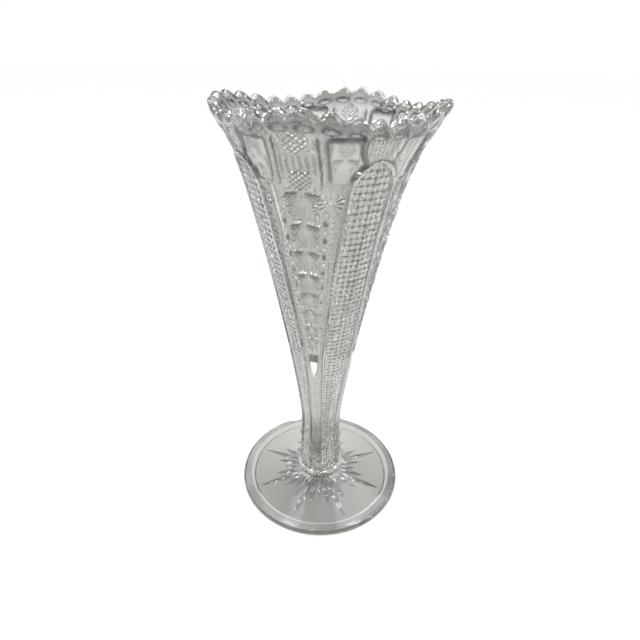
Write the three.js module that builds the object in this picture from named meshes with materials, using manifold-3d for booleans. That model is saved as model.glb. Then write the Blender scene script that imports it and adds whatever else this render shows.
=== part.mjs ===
// Pressed-glass bud vase: a scalloped trumpet body standing on a round wafer and a flat foot with a
// star cut into its underside. Millimetres, +Z up, origin on the table under the middle of the foot.
// Angles are measured around the axis from the front (-Y), positive towards +X.
import * as THREE from 'three';
import { ConvexGeometry } from 'three/addons/geometries/ConvexGeometry.js';
import { mergeVertices } from 'three/addons/utils/BufferGeometryUtils.js';
import Module from 'manifold-3d';

const wasm = await Module();
wasm.setup();

// Foot
const footRadius = 44.5;
const footLowerRound = 3.4; // the edge is rounded more below its widest line than above it
const footUpperRound = 2.2;
const footCentreThickness = 8.5;
const footRimBand = 3.9; // flat-topped band just inside the rounded edge
const restRingWidth = 3;
const footRecess = 0.8; // height of the underside above the rest ring
const footSegments = 96;

// Star of V-shaped rays under the foot
const longRays = 8;
const starTurn = 22.5; // direction of the first long ray, degrees
const longRayTip = 36.5;
const mediumRayTip = 25.5;
const shortRayTip = 20.5;
const rayStart = 10;
const rayWidth = 2.2; // at the wafer's edge
const rayDepth = 1.3;

// Wafer between the foot and the body
const waferRadius = 12.7;
const waferThickness = 4.5;
const waferSegments = 64;

// Body profile
const rimHeight = 203; // mean height of the scallop crests above the table
const rimRadius = 46.6;
const flareDrop = 6.5; // the lip starts to turn outwards this far below the rim
const flareRadius = 42.8;
const shoulderDrop = 24.4;
const shoulderRadius = 35;
const middleRadius = 20.5;
const stemTop = 50;
const stemRadius = 10.1;
const stemBaseRadius = 11.2;
const stemFlareHeight = 11; // the stem's base narrows to the stem's radius over this height

// Cavity
const cavityFloor = 18;
const cavityFloorRadius = 4.6;
const stemWall = 4.8;
const rimWall = 3.2;
const cavityRows = 4;
const floorRoundSteps = 3;
const innerFlareDrop = 10.4; // the inside of the lip starts this far below the rim
const lipThickness = 4;
const lipRoll = 0.6; // the lip's outside stands this much outside the profile

// Rim
const scallopsPerQuarter = 8;
const scallopDepth = 2.1;
const cornerLift = 2; // the four corners of the rim stand this much over the mean height
const cornerPull = 0.7; // and this much outside the mean radius

// Four ladder panels, one under each corner of the rim, with an arched panel between each two
const quarters = 4;
const ladderDirection = -15; // degrees
const ladderTopDrop = 27; // top of the highest tier below the rim
const ladderTopHalfWidth = 7;
const ladderWidestShare = 0.8; // of the room beside an arched panel
const dropTip = 80.4; // lower tip of the pointed facet that ends the ladder
const dropLength = 15;
const dropGap = 3; // from the facet's top to the lowest tier
const dropTipHalfWidth = 0.9;
const dropRelief = 0.7;
const tiers = 8;
const tierLedge = 0.9; // height of the ledge between two tiers
const tierRelief = 0.9;
const thumbHollow = 0.45; // a tier is hollow across by this much
const buttonRelief = 1;
const buttonHalfHeight = 4.1;
const buttonHalfWidth = 4.8;
const upperButtonDrop = 9.6;

// Arched panels. They narrow downwards from under the round top.
const archTopDrop = 15.6;
const archRise = 12.4;
const archHalfWidth = 9.7;
const archLowHalfWidth = 8.7;
const archLowHeight = 105; // below this height the panel keeps its lower width
const archWidestAngle = 29.5; // degrees, reached where the body is slender
const archBorder = 1.5;
const borderRelief = 0.8;
const fieldRelief = 0.3;
const fluteDepth = 0.9;
const panelLineDrop = 22.6; // where the smooth upper band starts between two arches

// Colour and finish of the glass
const glassColour = 0xc6c7c3;
const glassRoughness = 0.05;

const radians = THREE.MathUtils.degToRad;
const lerp = THREE.MathUtils.lerp;
const clamp = THREE.MathUtils.clamp;
const smoothstep = THREE.MathUtils.smoothstep;

const bodyBase = footCentreThickness + waferThickness;
const ladderTop = rimHeight - ladderTopDrop;
const dropTop = dropTip + dropLength;
const ladderBottom = dropTop + dropGap;
const panelLine = rimHeight - panelLineDrop;
const lowerButtonHeight = panelLine;
const upperButtonHeight = rimHeight - upperButtonDrop;
const archTop = rimHeight - archTopDrop;
const archSpring = archTop - archRise;
const warpStart = archSpring - archRise / 2;
const scallops = quarters * scallopsPerQuarter;

// The grid of the body has four columns for each scallop. Counted from the middle of a ladder to the
// middle of an arched panel, the landmarks are the ladder's edge, the ridge between two flutes, and
// both edges of the arch's border.
const halfQuarter = Math.PI / quarters;
const halfColumns = 2 * scallopsPerQuarter;
const landmarkColumns = [0, 5, 7, 9, 10, halfColumns];
const columns = 2 * quarters * halfColumns;

// Radius on a smooth curve through stations of height and radius.
function radiusThrough(stations, z) {
  const last = stations.length - 1;
  const slope = (i) => {
    const [below, above] = [stations[Math.max(i - 1, 0)], stations[Math.min(i + 1, last)]];
    return (above[1] - below[1]) / (above[0] - below[0]);
  };
  const i = clamp(stations.findIndex((station) => station[0] > z) - 1, 0, last - 1);
  const index = z >= stations[last][0] ? last - 1 : i;
  const [z0, r0] = stations[index];
  const [z1, r1] = stations[index + 1];
  const t = clamp((z - z0) / (z1 - z0), 0, 1);
  const turn = (z1 - z0) * t * (1 - t);
  const blend = t * t * (3 - 2 * t);
  return lerp(r0, r1, blend) + turn * ((1 - t) * slope(index) - t * slope(index + 1));
}

const outerStations = [
  [bodyBase, stemBaseRadius],
  [bodyBase + stemFlareHeight, stemRadius],
  [stemTop, stemRadius],
  [(stemTop + rimHeight - shoulderDrop) / 2, middleRadius],
  [rimHeight - shoulderDrop, shoulderRadius],
  [rimHeight - flareDrop, flareRadius],
  [rimHeight, rimRadius],
];

function bodyRadius(z) {
  return radiusThrough(outerStations, z);
}

function wallThickness(z) {
  return lerp(stemWall, rimWall, clamp((z - stemTop) / (rimHeight - stemTop), 0, 1));
}

function ladderHalfWidth(z) {
  const share = clamp((z - dropTip) / (ladderTop - dropTip), 0, 1);
  return lerp(dropTipHalfWidth, ladderTopHalfWidth, share);
}

function archWidthAt(z) {
  const share = clamp((z - archLowHeight) / (archSpring - archLowHeight), 0, 1);
  return lerp(archLowHalfWidth, archHalfWidth, share);
}

// Angles of the landmarks at a height, from the middle of the ladder.
function landmarkAngles(z) {
  const radius = bodyRadius(z);
  const archEdge = halfQuarter - Math.min(archWidthAt(z) / radius, radians(archWidestAngle));
  const ladderEdge = Math.min(ladderHalfWidth(z) / radius, archEdge * ladderWidestShare);
  const ridge = (ladderEdge + archEdge) / 2;
  return [0, ladderEdge, ridge, archEdge, archEdge + archBorder / radius, halfQuarter];
}

// Angle of a column at a height: tied to the panels below, evenly spread at the rim.
function columnAngle(column, z) {
  const angles = landmarkAngles(Math.min(z, panelLine));
  const right = Math.max(1, landmarkColumns.findIndex((mark) => mark >= column));
  const [c0, c1] = [landmarkColumns[right - 1], landmarkColumns[right]];
  const tied = lerp(angles[right - 1], angles[right], (column - c0) / (c1 - c0));
  const even = (halfQuarter * column) / halfColumns;
  return lerp(tied, even, smoothstep(z, panelLine, rimHeight - flareDrop));
}

// Height of the rim's crest line: four raised corners, and a scallop every few columns.
function rimTop(column) {
  const angle = (halfQuarter * column) / halfColumns;
  const corner = cornerLift * Math.cos(quarters * angle);
  const lobe = Math.abs(Math.sin((scallops / 2) * angle));
  return rimHeight + corner - scallopDepth * (1 - lobe);
}

// Height of the line where the panels end: level between the arches, and over each one round.
function panelTop(column) {
  const edge = landmarkColumns[3];
  if (column < edge) return panelLine;
  const across = (halfColumns - column) / (halfColumns - edge);
  return archSpring + archRise * Math.sqrt(1 - across * across);
}

// Moves a nominal height up or down in its column, so that rows follow the arches and the scallops.
function warpedHeight(z, column) {
  if (z <= warpStart) return z;
  const top = panelTop(column);
  if (z <= panelLine) return lerp(warpStart, top, (z - warpStart) / (panelLine - warpStart));
  return lerp(top, rimTop(column), (z - panelLine) / (rimHeight - panelLine));
}

// Boundaries of the ladder's tiers. Each tier is taller than the one below by the same ratio.
function tierHeights() {
  const ratio = bodyRadius(ladderTop) / bodyRadius(ladderBottom);
  const growth = ratio ** (1 / tiers);
  const first = ((ladderTop - ladderBottom) * (growth - 1)) / (growth ** tiers - 1);
  const height = (i) => ladderBottom + (first * (growth ** i - 1)) / (growth - 1);
  return Array.from({ length: tiers + 1 }, (_, i) => height(i));
}

const tierBounds = tierHeights();

function dome(column, z, centre) {
  const width = (ladderHalfWidth(z) * column) / landmarkColumns[1];
  const away = (width / buttonHalfWidth) ** 2 + ((z - centre) / buttonHalfHeight) ** 2;
  return buttonRelief * Math.sqrt(Math.max(0, 1 - away));
}

// Relief of the ladder's columns: pointed facet, tiers and two buttons. The body has rows only on
// both edges of each ledge, so a tier's face slopes out from its hollow to the next ledge above.
function ladderRelief(column, z) {
  if (z < ladderBottom) return dropRelief * smoothstep(z, dropTip, dropTop);
  if (z >= ladderTop) return dome(column, z, lowerButtonHeight) + dome(column, z, upperButtonHeight);
  const tier = tierBounds.findIndex((bound) => bound > z) - 1;
  const sunk = clamp((z - tierBounds[tier]) / tierLedge, 0, 1);
  const across = 1 - (column / landmarkColumns[1]) ** 2;
  return tierRelief * (0.5 - sunk) - thumbHollow * across * sunk;
}

// Outward relief of one column at one nominal height.
function relief(column, z) {
  const [, ladderEdge, ridge, borderOuter, borderInner] = landmarkColumns;
  const panelFade = 1 - smoothstep(z, panelLine, panelLine + archBorder);
  const fluteFade = 1 - smoothstep(z, ladderTop, panelLine);
  if (column <= ladderEdge) return ladderRelief(column, z);
  if (column === ridge) return 0;
  if (column < borderOuter) return -fluteDepth * fluteFade;
  const nearTop = z > panelLine - archBorder;
  if (column <= borderInner || nearTop) return borderRelief * panelFade;
  return -fieldRelief;
}

// Rows of the outer surface from the wafer up to just under the lip.
function outerRows() {
  const plainStem = bodyBase + stemFlareHeight;
  const stem = [bodyBase, plainStem, (plainStem + stemTop) / 2, stemTop];
  const low = [(stemTop + dropTip) / 2, dropTip, (dropTip + dropTop) / 2, dropTop];
  const ladder = tierBounds.slice(0, -1).flatMap((bound) => [bound, bound + tierLedge]);
  const arch = [ladderTop, panelLine - archBorder, panelLine, panelLine + archBorder];
  const lowerButton = [lowerButtonHeight + buttonHalfHeight];
  const upperButton = [-1, 0, 1].map((step) => upperButtonHeight + step * buttonHalfHeight);
  return [...stem, ...low, ...ladder, ...arch, ...lowerButton, ...upperButton];
}

// Position from a column of the whole turn, a radius and a height.
function place(column, angle, radius, z) {
  const ladder = Math.round(column / (2 * halfColumns));
  const centre = radians(ladderDirection) + ladder * 2 * halfQuarter;
  const side = Math.sign(column - ladder * 2 * halfColumns);
  const turn = centre + side * angle;
  return [radius * Math.sin(turn), -radius * Math.cos(turn), z];
}

// Column counted from the middle of the nearest ladder.
function foldedColumn(column) {
  const inQuarter = column % (2 * halfColumns);
  return Math.min(inQuarter, 2 * halfColumns - inQuarter);
}

function outerRing(z, step) {
  const ring = [];
  for (let column = 0; column < columns; column += step) {
    const folded = foldedColumn(column);
    const height = warpedHeight(z, folded);
    const radius = bodyRadius(height) + pullAt(folded, height) + relief(folded, z);
    ring.push(place(column, columnAngle(folded, height), radius, height));
  }
  return ring;
}

// The corners of the rim are pulled outwards and the sides between them inwards.
function pullAt(column, z) {
  const angle = (halfQuarter * column) / halfColumns;
  return cornerPull * Math.cos(quarters * angle) * smoothstep(z, panelLine, rimHeight);
}

// One ring of the rounded lip. Its section is a circle, and turn runs from the outside over the top.
function lipRing(turn) {
  const ring = [];
  const round = lipThickness / 2;
  for (let column = 0; column < columns; column += 1) {
    const folded = foldedColumn(column);
    const centre = rimTop(folded) - round;
    const radius = bodyRadius(centre) + lipRoll - round + pullAt(folded, centre);
    const point = [radius + round * Math.cos(turn), centre + round * Math.sin(turn)];
    ring.push(place(column, (halfQuarter * folded) / halfColumns, ...point));
  }
  return ring;
}

function cavityRing(z, radius, step) {
  const ring = [];
  for (let column = 0; column < columns; column += step) {
    const angle = (halfQuarter * foldedColumn(column)) / halfColumns;
    ring.push(place(column, angle, radius, z));
  }
  return ring;
}

// Rings of the cavity from the lip down to its round floor, with every second column.
function cavityRings() {
  const shoulder = rimHeight - shoulderDrop;
  const step = (shoulder - stemTop) / cavityRows;
  const wall = Array.from({ length: cavityRows + 1 }, (_, i) => shoulder - i * step);
  const roundTop = cavityFloor + cavityFloorRadius;
  const levels = [rimHeight - innerFlareDrop, ...wall, roundTop];
  const rings = levels.map((z) => cavityRing(z, cavityRadius(z), 2));
  for (let i = 1; i < floorRoundSteps; i += 1) {
    const turn = (Math.PI / 2) * (i / floorRoundSteps);
    const radius = cavityRadius(roundTop) * Math.cos(turn);
    rings.push(cavityRing(roundTop - cavityFloorRadius * Math.sin(turn), radius, 2));
  }
  return rings;
}

function cavityRadius(z) {
  if (z > stemTop) return bodyRadius(z) - wallThickness(z);
  const share = (z - cavityFloor) / (stemTop - cavityFloor);
  return lerp(cavityFloorRadius, bodyRadius(stemTop) - wallThickness(stemTop), share);
}

// Closed skin over a stack of rings. A ring has as many points as the one before, or half as many,
// or twice as many. Both ends are closed by a fan.
function skin(rings, startPoint, endPoint) {
  const points = [];
  const faces = [];
  const starts = rings.map((ring) => {
    const start = points.length;
    points.push(...ring);
    return start;
  });
  const fan = (tip, start, count, flip) => {
    points.push(tip);
    for (let i = 0; i < count; i += 1) {
      const pair = [start + i, start + ((i + 1) % count)];
      faces.push([points.length - 1, ...(flip ? pair.reverse() : pair)]);
    }
  };
  for (let row = 0; row + 1 < rings.length; row += 1) {
    faces.push(...strip(starts[row], rings[row].length, starts[row + 1], rings[row + 1].length));
  }
  fan(startPoint, starts[0], rings[0].length, true);
  fan(endPoint, starts.at(-1), rings.at(-1).length, false);
  const geometry = new THREE.BufferGeometry();
  geometry.setAttribute('position', new THREE.Float32BufferAttribute(points.flat(), 3));
  geometry.setIndex(faces.flat());
  return geometry;
}

// Triangles between two rings, where one may have twice the points of the other.
function strip(lower, lowerCount, upper, upperCount) {
  const faces = [];
  const count = Math.max(lowerCount, upperCount);
  const low = (i) => lower + (Math.floor((i * lowerCount) / count) % lowerCount);
  const high = (i) => upper + (Math.floor((i * upperCount) / count) % upperCount);
  for (let i = 0; i < count; i += 1) {
    if (low(i) !== low(i + 1)) faces.push([low(i), low(i + 1), high(i)]);
    if (high(i) !== high(i + 1)) faces.push([low(i + 1), high(i + 1), high(i)]);
  }
  return faces;
}

function trumpetBody() {
  const outer = outerRows().map((z) => outerRing(z, z <= stemTop ? 2 : 1));
  const lip = [-50, 0, 45, 90, 135, 180].map((turn) => lipRing(radians(turn)));
  const rings = [...outer, ...lip, ...cavityRings()];
  return skin(rings, [0, 0, bodyBase], [0, 0, cavityFloor]);
}

function lathe(profile, segments) {
  const points = profile.map(([radius, z]) => new THREE.Vector2(radius, z));
  return new THREE.LatheGeometry(points, segments).rotateX(Math.PI / 2);
}

// Points of a round corner, with both angles in degrees.
function arcPoints([centreRadius, centreZ], radius, from, to, steps) {
  return Array.from({ length: steps + 1 }, (_, i) => {
    const turn = radians(lerp(from, to, i / steps));
    return [centreRadius + radius * Math.cos(turn), centreZ + radius * Math.sin(turn)];
  });
}

function stemWafer() {
  const round = waferThickness / 2;
  const middle = footCentreThickness + round;
  const edge = arcPoints([waferRadius - round, middle], round, -90, 90, 6);
  return lathe([[0, footCentreThickness], ...edge, [0, bodyBase]], waferSegments);
}

function footBlank() {
  const [low, high] = [footLowerRound, footUpperRound];
  const lowerEdge = arcPoints([footRadius - low, low], low, -90, 0, 4);
  const upperEdge = arcPoints([footRadius - high, low], high, 0, 90, 3);
  const ringInner = footRadius - low - restRingWidth;
  const profile = [
    [0, footRecess],
    [ringInner - footRecess, footRecess],
    [ringInner, 0],
    ...lowerEdge,
    ...upperEdge.slice(1),
    [footRadius - high - footRimBand, low + high],
    [waferRadius, footCentreThickness],
    [0, footCentreThickness],
  ];
  return lathe(profile, footSegments);
}

// A ray is a lance with a V section, deepest at the star's middle and running out at its tip.
function starRay(tip, turn) {
  const below = footRecess / 2;
  const widthAtStart = (rayWidth * (tip - rayStart)) / (tip - waferRadius);
  const corners = [
    [tip, 0, footRecess],
    [tip, 0, footRecess - below],
    [rayStart, -widthAtStart / 2, footRecess - below],
    [rayStart, widthAtStart / 2, footRecess - below],
    [rayStart, 0, footRecess + rayDepth],
  ];
  const points = corners.map((corner) => new THREE.Vector3(...corner));
  return new ConvexGeometry(points).rotateZ(turn - Math.PI / 2);
}

function starRays() {
  const tips = [longRayTip, mediumRayTip, shortRayTip, mediumRayTip];
  const count = longRays * tips.length;
  return Array.from({ length: count }, (_, i) => {
    const turn = radians(starTurn) + (i * 2 * Math.PI) / count;
    return starRay(tips[i % tips.length], turn);
  });
}

function solid(geometry) {
  const bare = geometry.clone();
  bare.deleteAttribute('normal');
  bare.deleteAttribute('uv');
  const merged = mergeVertices(bare, 1e-4);
  const vertProperties = new Float32Array(merged.attributes.position.array);
  const triVerts = new Uint32Array(merged.index.array);
  return new wasm.Manifold(new wasm.Mesh({ numProp: 3, vertProperties, triVerts }));
}

function geometryOf(manifold) {
  const { vertProperties, triVerts } = manifold.getMesh();
  const geometry = new THREE.BufferGeometry();
  geometry.setAttribute('position', new THREE.BufferAttribute(vertProperties, 3));
  geometry.setIndex(new THREE.BufferAttribute(triVerts, 1));
  return geometry;
}

function foot() {
  let cut = solid(footBlank());
  for (const ray of starRays()) cut = cut.subtract(solid(ray));
  return geometryOf(cut);
}

function piece(name, geometry) {
  geometry.computeVertexNormals();
  const material = new THREE.MeshStandardMaterial({
    color: glassColour,
    roughness: glassRoughness,
    metalness: 0,
  });
  const mesh = new THREE.Mesh(geometry, material);
  mesh.name = name;
  return mesh;
}

const vase = new THREE.Group();
vase.add(piece('trumpet_body', trumpetBody()));
vase.add(piece('stem_wafer', stemWafer()));
vase.add(piece('foot', foot()));

export default vase;
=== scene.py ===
import math
import bpy
import numpy as np
from mathutils import Matrix, Vector

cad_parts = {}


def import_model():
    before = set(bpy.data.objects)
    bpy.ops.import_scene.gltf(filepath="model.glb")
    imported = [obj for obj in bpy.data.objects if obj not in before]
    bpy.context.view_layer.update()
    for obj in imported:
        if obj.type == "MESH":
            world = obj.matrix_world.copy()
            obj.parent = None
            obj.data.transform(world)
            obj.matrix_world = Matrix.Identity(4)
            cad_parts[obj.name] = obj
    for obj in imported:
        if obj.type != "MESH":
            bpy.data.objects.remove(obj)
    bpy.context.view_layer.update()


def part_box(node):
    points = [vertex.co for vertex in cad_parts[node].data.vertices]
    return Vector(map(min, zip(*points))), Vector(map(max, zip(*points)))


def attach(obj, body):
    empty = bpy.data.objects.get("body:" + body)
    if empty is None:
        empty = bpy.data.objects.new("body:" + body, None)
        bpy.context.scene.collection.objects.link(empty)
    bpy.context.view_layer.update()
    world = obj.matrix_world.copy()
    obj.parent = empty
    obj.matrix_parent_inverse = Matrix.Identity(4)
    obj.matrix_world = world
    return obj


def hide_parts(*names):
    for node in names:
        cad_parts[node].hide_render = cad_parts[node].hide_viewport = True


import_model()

# Lengths and heights are in metres. Angles are measured around the axis from the front (-Y),
# positive towards +X. Two numbers of a span say where a change begins and ends, and four say where
# something begins, is full, begins to fade and ends. A growth has the heights between which a value
# changes, then the value below and the value above. A line has its middle and its width.
foot_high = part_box("foot")[1]
FOOT_RADIUS = foot_high.x
FOOT_TOP = foot_high.z
WAFER_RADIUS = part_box("stem_wafer")[1].x
BODY_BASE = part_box("trumpet_body")[0].z

# Every point of the glass carries a shade, which its material paints into colour: painted shade
# above 0, up to 1 for the darkest pit, and painted light below 0, the clearest. The painted shade
# stands in for the dark that refraction and total reflection give in cuts and pits, and the
# painted light for highlights. A slope of the relief counts as steep between these two values,
# and steep cuts get painted shade.
STEEP_SPAN = (0.35, 1.3)
STEEP_SHADE = 0.45

# Some faces of the clearest points are glints. They reflect fully, as cut glass does from inside.
GLINT_SPAN = (0.3, 2.4)
GLINT_SIZE = 0.0004
SPECKLE_COLUMNS = 4
DRAWS = np.random.default_rng(11).random((251, 509))

# Profile of the body
RIM_HEIGHT = 0.203
RIM_RADIUS = 0.0466
FLARE_DROP = 0.0065
FLARE_RADIUS = 0.0428
SHOULDER_DROP = 0.0244
SHOULDER_RADIUS = 0.035
MIDDLE_RADIUS = 0.0205
STEM_TOP = 0.050
STEM_RADIUS = 0.0101
STEM_BASE_RADIUS = 0.0112
STEM_FLARE_HEIGHT = 0.011

# Quarters: each has one ladder in its middle and half an arched panel at both sides.
QUARTERS = 4
HALF_QUARTER = math.pi / QUARTERS
LADDER_DIRECTION = math.radians(-15)
LADDER_TOP = RIM_HEIGHT - 0.027
LADDER_TOP_HALF_WIDTH = 0.007
LADDER_WIDEST_SHARE = 0.8
DROP_TIP = 0.0798
DROP_LENGTH = 0.015
DROP_TOP = DROP_TIP + DROP_LENGTH
DROP_TIP_HALF_WIDTH = 0.0009
LADDER_BOTTOM = DROP_TOP + 0.003
PANEL_LINE = RIM_HEIGHT - 0.0226
ARCH_TOP = RIM_HEIGHT - 0.0156
ARCH_RISE = 0.0124
ARCH_SPRING = ARCH_TOP - ARCH_RISE
ARCH_HALF_WIDTH = 0.0097
ARCH_LOW_HALF_WIDTH = 0.0087
ARCH_LOW_HEIGHT = 0.105
ARCH_WIDEST_ANGLE = math.radians(29.5)
ARCH_FOLLOWED = 0.8
BORDER_GROWTH = (STEM_TOP, LADDER_TOP, 0.0006, 0.0019)

# The body's grid. From the middle of a ladder to the middle of an arched panel, the landmarks are
# the ladder's edge, the ridge between two flutes, and both edges of the arch's border.
HALF_COLUMNS = 60
LANDMARK_COLUMNS = (0, 20, 27, 33, 37, HALF_COLUMNS)
COLUMNS = 2 * QUARTERS * HALF_COLUMNS
EVEN_ANGLES = HALF_QUARTER * np.arange(HALF_COLUMNS + 1) / HALF_COLUMNS


def ramp(x, low, high):
    """0 up to low and 1 from high on, with a smooth change between them."""
    t = np.clip((x - low) / (high - low), 0, 1)
    return t * t * (3 - 2 * t)


def mix(a, b, t):
    return a + (b - a) * t


def change(x, low, high, before, after):
    return mix(before, after, ramp(x, low, high))


def plateau(x, start, full, fading, end):
    return ramp(x, start, full) * (1 - ramp(x, fading, end))


def stripe(x, middle, width):
    """1 along the middle of a soft line, and a third of that at its width."""
    return np.exp(-((x - middle) / width) ** 2)


def wave(x, pitch):
    """1 at whole pitches and 0 halfway between them."""
    return 0.5 + 0.5 * np.cos(2 * np.pi * x / pitch)


def oval(across, half_width, up, half_height):
    """0 in the middle of an oval and 1 on its outline."""
    return (across / half_width) ** 2 + (up / half_height) ** 2


def dome(away):
    return np.sqrt(np.maximum(0, 1 - away))


def drawn(row, column):
    """The same random number from 0 to 1 for the same pair of whole numbers."""
    return DRAWS[row % DRAWS.shape[0], column % DRAWS.shape[1]]


def whole(x):
    return np.floor(x).astype(int)


STATIONS = np.array([
    (BODY_BASE, STEM_BASE_RADIUS),
    (BODY_BASE + STEM_FLARE_HEIGHT, STEM_RADIUS),
    (STEM_TOP, STEM_RADIUS),
    ((STEM_TOP + RIM_HEIGHT - SHOULDER_DROP) / 2, MIDDLE_RADIUS),
    (RIM_HEIGHT - SHOULDER_DROP, SHOULDER_RADIUS),
    (RIM_HEIGHT - FLARE_DROP, FLARE_RADIUS),
    (RIM_HEIGHT, RIM_RADIUS),
])


def body_radius(z):
    """Radius of the plain outside at a height, on a smooth curve through the stations."""
    z = np.asarray(z, float)
    last = len(STATIONS) - 1
    above = np.minimum(np.arange(last + 1) + 1, last)
    below = np.maximum(np.arange(last + 1) - 1, 0)
    slope = (STATIONS[above, 1] - STATIONS[below, 1]) / (STATIONS[above, 0] - STATIONS[below, 0])
    i = np.clip(np.searchsorted(STATIONS[:, 0], z, side="right") - 1, 0, last - 1)
    z0, z1 = STATIONS[i, 0], STATIONS[i + 1, 0]
    r0, r1 = STATIONS[i, 1], STATIONS[i + 1, 1]
    t = np.clip((z - z0) / (z1 - z0), 0, 1)
    turn = (z1 - z0) * t * (1 - t)
    return mix(r0, r1, t * t * (3 - 2 * t)) + turn * ((1 - t) * slope[i] - t * slope[i + 1])


def ladder_half_width(z):
    share = np.clip((z - DROP_TIP) / (LADDER_TOP - DROP_TIP), 0, 1)
    return mix(DROP_TIP_HALF_WIDTH, LADDER_TOP_HALF_WIDTH, share)


def arch_half_width(z):
    """Half width of an arched panel on the surface, without its round top."""
    share = np.clip((z - ARCH_LOW_HEIGHT) / (ARCH_SPRING - ARCH_LOW_HEIGHT), 0, 1)
    straight = mix(ARCH_LOW_HALF_WIDTH, ARCH_HALF_WIDTH, share)
    return np.minimum(straight, body_radius(z) * ARCH_WIDEST_ANGLE)


def grid_angles(z):
    """Angles of half a quarter's columns at each height: tied to the panels, even at the rim."""
    low = np.minimum(z, PANEL_LINE)
    radius = body_radius(low)
    half = arch_half_width(low)
    edge = HALF_QUARTER - half / radius
    ladder = np.minimum(ladder_half_width(low) / radius, edge * LADDER_WIDEST_SHARE)
    risen = np.clip((z - ARCH_SPRING) / ARCH_RISE, 0, ARCH_FOLLOWED)
    outer = HALF_QUARTER - half / radius * np.sqrt(1 - risen * risen)
    inner = outer + change(low, *BORDER_GROWTH) / radius
    marks = np.stack([0 * z, ladder, (ladder + edge) / 2, outer, inner, 0 * z + HALF_QUARTER])
    columns = np.arange(HALF_COLUMNS + 1)
    tied = np.stack([np.interp(columns, LANDMARK_COLUMNS, row) for row in marks.T])
    return mix(tied, EVEN_ANGLES, ramp(z, PANEL_LINE, RIM_HEIGHT - FLARE_DROP)[:, None])


# Rim: four raised corners that lean out, and scallops with slightly rounded valleys
SCALLOPS = 8 * QUARTERS
SCALLOP_DEPTH = 0.0021
VALLEY_ROUNDNESS = 0.6
CORNER_LIFT = 0.002
CORNER_PULL = 0.0007


def rim_top(angle):
    """Height of the rim's crest line."""
    soft = VALLEY_ROUNDNESS
    crest = np.sqrt(np.sin(SCALLOPS / 2 * angle) ** 2 + soft ** 2) - soft
    crest = crest / (math.sqrt(1 + soft ** 2) - soft)
    return RIM_HEIGHT + CORNER_LIFT * np.cos(QUARTERS * angle) - SCALLOP_DEPTH * (1 - crest)


def corner_pull(angle, z):
    return CORNER_PULL * np.cos(QUARTERS * angle) * ramp(z, PANEL_LINE, RIM_HEIGHT)


def beside_crest(angle):
    """0 on a scallop's crest, and 1 or -1 in the valleys beside it."""
    return np.arcsin(np.clip(np.cos(SCALLOPS / 2 * angle), -1, 1)) / (math.pi / 2)


# Arched panels: a smooth rib around rows of beads. Zones are in border widths from the outline
# inwards. The rows lie BEAD_ROW_AT_STEM apart on the stem and grow wider apart upwards.
RIB_ZONE = (-0.25, 0.3, 0.75, 1.1)
FIELD_ZONE = RIB_ZONE[2:]
BEAD_ZONE = (0.95, 1.2)
OUTLINE_ZONE = (-0.3, 0, 0.15, 0.4)
CREST_ZONE = (0.3, 0.5, 0.85, 1)
BORDER_RELIEF = 0.0008
FIELD_DEPTH = 0.0006
BEAD_COLUMNS = 6
BEAD_ROW_AT_STEM = 0.00185
BEAD_ROW_STEM_HEIGHT = 0.048
BEAD_ROW_GROWTH = 0.0009 / 0.127
BEAD_RELIEF_SHARE = 0.24
BEAD_WIDEST = 1.5 * BEAD_ROW_AT_STEM
BEAD_GROWTH = (0.06, 0.13, 0.4, 1)
BEAD_SPREAD = 0.85
BEAD_JITTER = 0.14
SECOND_DRAW = (97, 31)
# Painted shade: pits at the corners of a bead's cell, lines along its sides, a dot on its crown,
# the field and the outline. Painted light: each bead's crown, the rib's crest and the lower stem.
PIT_SPAN = (0.28, 0.46)
PIT_SHADES = (0.7, 2.0)
LINE_SPAN = (0.36, 0.48)
LINE_GROWTH = (0.105, 0.150, 0.25, 0.8)
UPRIGHT_LINES = 0.6
DOT_SPAN = (0.02, 0.16)
DOT_SHADE = 2.4
STEM_PIT_GROWTH = (STEM_TOP, 0.09, 1.4, 1)
BEAD_LIGHT_GROWTH = (0.035, 0.06, 1.5, 1)
BEAD_LIGHT_SPAN = (0.35, 0.65)
FIELD_SHADE = 0.26
PIT_SHARE = 0.95
OUTLINE_SHADE = 0.4
OUTLINE_GROWTH = (0.150, 0.175, 0.4, 1)
CREST_LIGHT = 0.65
BASE_FADE = 0.006
STEM_LIGHT = 0.55
STEM_LIGHT_SPAN = (0.020, 0.045)


def bead_row(z):
    """Number of bead rows between the stem and a height."""
    pitch = BEAD_ROW_AT_STEM + BEAD_ROW_GROWTH * (z - BEAD_ROW_STEM_HEIGHT)
    return np.log(pitch / BEAD_ROW_AT_STEM) / BEAD_ROW_GROWTH


def bead_row_height(row):
    grown = BEAD_ROW_AT_STEM * (np.exp(row * BEAD_ROW_GROWTH) - 1)
    return BEAD_ROW_STEM_HEIGHT + grown / BEAD_ROW_GROWTH


def arch_inset(side, z):
    """How far a point lies inside an arched panel, from its distance to the panel's middle."""
    straight = arch_half_width(z) - side
    up = np.maximum(z - ARCH_SPRING, 0)
    q = np.sqrt((side / ARCH_HALF_WIDTH) ** 2 + (up / ARCH_RISE) ** 2) + 1e-9
    slope = np.sqrt((side / ARCH_HALF_WIDTH ** 2) ** 2 + (up / ARCH_RISE ** 2) ** 2) / q + 1e-9
    return np.where(z > ARCH_SPRING, (1 - q) / slope, straight)


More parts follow.
